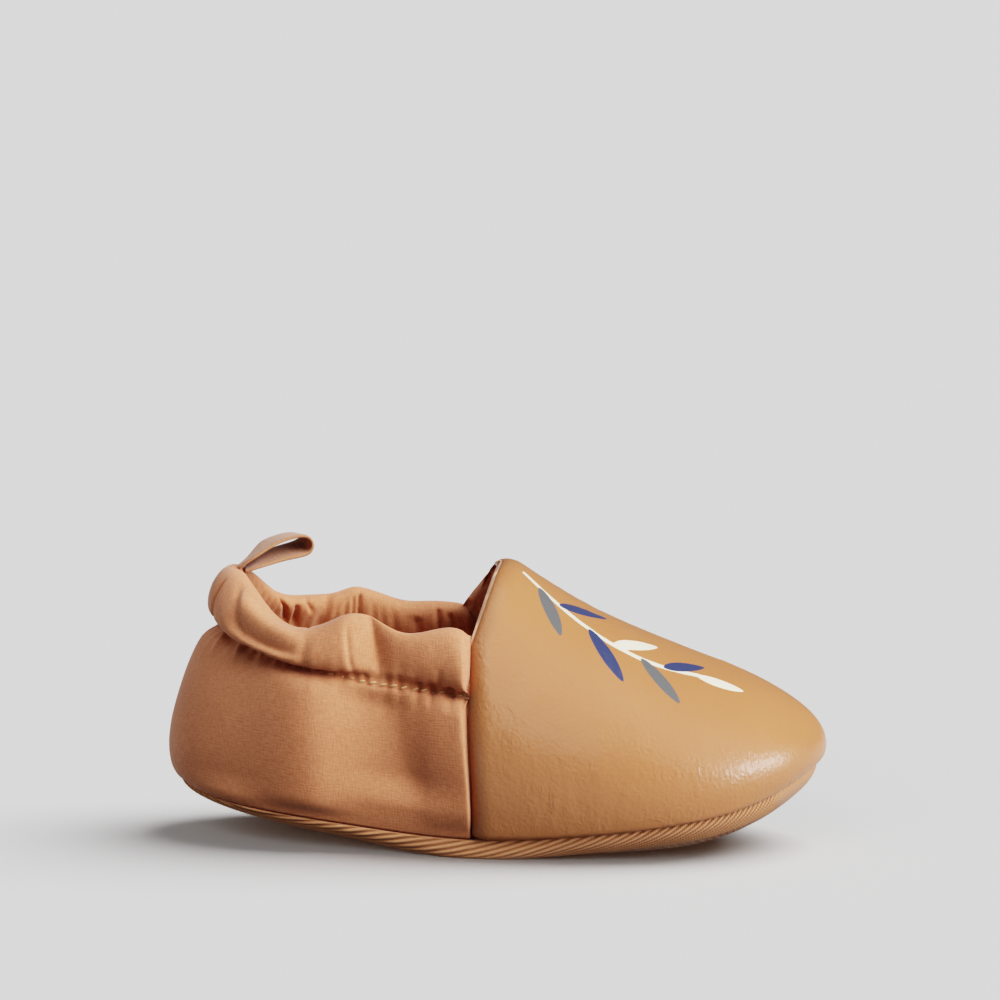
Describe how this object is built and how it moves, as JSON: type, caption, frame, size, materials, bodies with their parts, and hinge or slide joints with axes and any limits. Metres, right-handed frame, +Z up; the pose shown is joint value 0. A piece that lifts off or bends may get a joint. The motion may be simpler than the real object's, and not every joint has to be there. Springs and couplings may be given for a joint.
{
  "type": "soft baby slipper",
  "caption": "Soft slip-on baby slipper with a padded cotton upper, gathered elastic collar, smooth faux leather vamp, ribbed twill sole and a heel pull loop.",
  "frame": {"origin": "middle of the bounding box, on the plane that the sole stands on", "axes": "+X from heel to toe, +Y to the inner side of the foot, +Z up"},
  "size_m": [0.1208, 0.0602, 0.0551],
  "materials": {
    "sole_twill": "ribbed woven twill, matt",
    "insole_cotton": "plain woven cotton, matt",
    "upper_cotton": "plain woven cotton with a soft sheen",
    "vamp_leather": "fine grained faux leather, satin",
    "loop_tape": "woven cotton tape, matt"
  },
  "bodies": {
    "root": {"outsole": "sole_twill", "insole": "insole_cotton", "upper": "upper_cotton", "vamp": "vamp_leather", "pull_loop": "loop_tape"}
  },
  "joints": []
}
